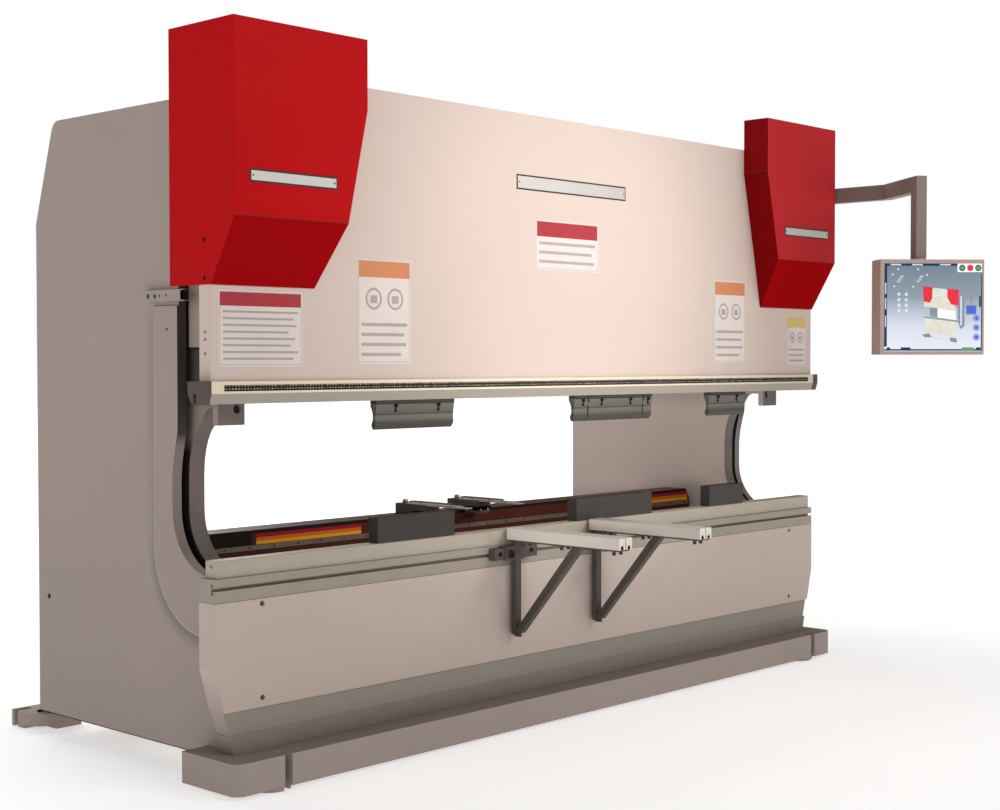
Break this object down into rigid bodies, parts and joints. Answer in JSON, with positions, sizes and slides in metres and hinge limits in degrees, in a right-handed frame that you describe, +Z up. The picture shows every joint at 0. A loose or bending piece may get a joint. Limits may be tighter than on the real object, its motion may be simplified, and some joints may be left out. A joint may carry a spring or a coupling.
{
  "type": "press brake",
  "caption": "Hydraulic sheet metal press brake with side frames, sliding ram with punches, bed with dies, back gauge, front support arms and a swinging operator pendant",
  "frame": {"origin": "middle of the bounding box in plan, at floor level", "axes": "+X along the bed to the operator's right, +Y to the back of the machine, +Z up"},
  "size_m": [3.923, 2.374, 2.578],
  "materials": {
    "black_steel": "black paint",
    "aluminium": "satin extrusion",
    "ground_steel": "ground steel",
    "dark_cap": "dark grey paint",
    "frame_grey": "warm grey satin paint",
    "ram_beige": "beige satin paint",
    "cover_red": "red gloss paint",
    "tool_steel": "dark tool steel",
    "gauge_brown": "brown paint",
    "pendant_tan": "tan satin paint",
    "chrome_rod": "ground chrome",
    "screen_glass": "display under clear sheet"
  },
  "bodies": {
    "frame": {"base_beam": "frame_grey", "bed_plate": "ram_beige", "bed_skirt": "frame_grey", "bed_table": "ground_steel", "cabinet_backplate": "ground_steel", "cabinet_shell": "frame_grey", "cover_left": "cover_red", "cover_right": "cover_red", "cylinder_left": "black_steel", "cylinder_right": "black_steel", "die_1": "tool_steel", "die_2": "tool_steel", "die_3": "tool_steel", "die_rail": "ground_steel", "gauge_support_left": "frame_grey", "gauge_support_right": "frame_grey", "gib_left": "frame_grey", "gib_right": "frame_grey", "hydraulic_tank": "frame_grey", "inner_plate_left": "frame_grey", "inner_plate_right": "frame_grey", "outer_plate_left": "frame_grey", "outer_plate_right": "frame_grey", "pendant_bracket": "frame_grey", "pump_motor": "black_steel", "rear_foot_left": "frame_grey", "rear_foot_right": "frame_grey", "rear_lower_tie": "frame_grey", "rear_upper_tie": "frame_grey", "scale_arm_left": "frame_grey", "scale_arm_right": "frame_grey", "valve_manifold": "ground_steel"},
    "ram": {"ram_plate": "ram_beige", "clamp_bar": "ground_steel", "bar_cap_left": "dark_cap", "bar_cap_right": "dark_cap", "punch_1": "tool_steel", "punch_2a": "tool_steel", "punch_2b": "tool_steel", "punch_2c": "tool_steel", "punch_3": "tool_steel", "piston_rod_left": "chrome_rod", "piston_rod_right": "chrome_rod"},
    "gauge_carriage": {"gauge_carriage_left": "black_steel", "gauge_carriage_right": "black_steel"},
    "ball_screw_l": {"ball_screw_left": "ground_steel"},
    "ball_screw_r": {"ball_screw_right": "ground_steel"},
    "gauge_lift": {"gauge_beam": "gauge_brown"},
    "finger_l": {"gauge_finger_left": "black_steel"},
    "finger_r": {"gauge_finger_right": "black_steel"},
    "support_arm_1": {"arm_bracket_1": "black_steel", "arm_rail_1": "aluminium"},
    "support_arm_2": {"arm_bracket_2": "black_steel", "arm_rail_2": "aluminium"},
    "pendant_swing": {"pendant_arm": "pendant_tan"},
    "pendant_head": {"pendant_box": "pendant_tan", "touch_screen": "screen_glass"},
    "door": {"cabinet_door": "frame_grey"},
    "switch": {"switch_handle": "cover_red"}
  },
  "joints": [
    {"name": "ram_slide", "type": "slide", "parent": "frame", "child": "ram", "axis": [0, 0, -1], "range_m": [0, 0.33]},
    {"name": "gauge_depth", "type": "slide", "parent": "frame", "child": "gauge_carriage", "axis": [0, 1, 0], "range_m": [-0.17, 0.35]},
    {"name": "ball_screw_spin_left", "type": "hinge", "parent": "frame", "child": "ball_screw_l", "pos_m": [-1.3495, 0.33195, 0.541], "axis": [0, 1, 0], "continuous": true},
    {"name": "ball_screw_spin_right", "type": "hinge", "parent": "frame", "child": "ball_screw_r", "pos_m": [1.1785, 0.33195, 0.541], "axis": [0, 1, 0], "continuous": true},
    {"name": "gauge_height", "type": "slide", "parent": "gauge_carriage", "child": "gauge_lift", "axis": [0, 0, 1], "range_m": [-0.079, 0.05]},
    {"name": "finger_slide_left", "type": "slide", "parent": "gauge_lift", "child": "finger_l", "axis": [1, 0, 0], "range_m": [-1.1, 0.1]},
    {"name": "finger_slide_right", "type": "slide", "parent": "gauge_lift", "child": "finger_r", "axis": [1, 0, 0], "range_m": [-0.1, 1.45]},
    {"name": "support_slide_1", "type": "slide", "parent": "frame", "child": "support_arm_1", "axis": [1, 0, 0], "range_m": [-1.25, 0.1]},
    {"name": "support_slide_2", "type": "slide", "parent": "frame", "child": "support_arm_2", "axis": [1, 0, 0], "range_m": [-0.1, 1.45]},
    {"name": "pendant_arm_swing", "type": "hinge", "parent": "frame", "child": "pendant_swing", "pos_m": [1.7955, 0.13195, 2.2625], "axis": [0, 0, 1], "range_deg": [0, 90]},
    {"name": "pendant_head_swivel", "type": "hinge", "parent": "pendant_swing", "child": "pendant_head", "pos_m": [1.57231, -0.9497, 1.915], "axis": [0, 0, 1], "range_deg": [-60, 60]},
    {"name": "cabinet_door_hinge", "type": "hinge", "parent": "frame", "child": "door", "pos_m": [1.9395, 0.95595, 1.311], "axis": [0, 0, 1], "range_deg": [0, 110]},
    {"name": "main_switch_turn", "type": "hinge", "parent": "door", "child": "switch", "pos_m": [1.9365, 0.59195, 1.746], "axis": [1, 0, 0], "range_deg": [0, 90]}
  ],
  "couplings": [
    {"joint": "ball_screw_spin_left", "follows": "gauge_depth", "rad_per_m": 314.16},
    {"joint": "ball_screw_spin_right", "follows": "gauge_depth", "rad_per_m": 314.16}
  ]
}
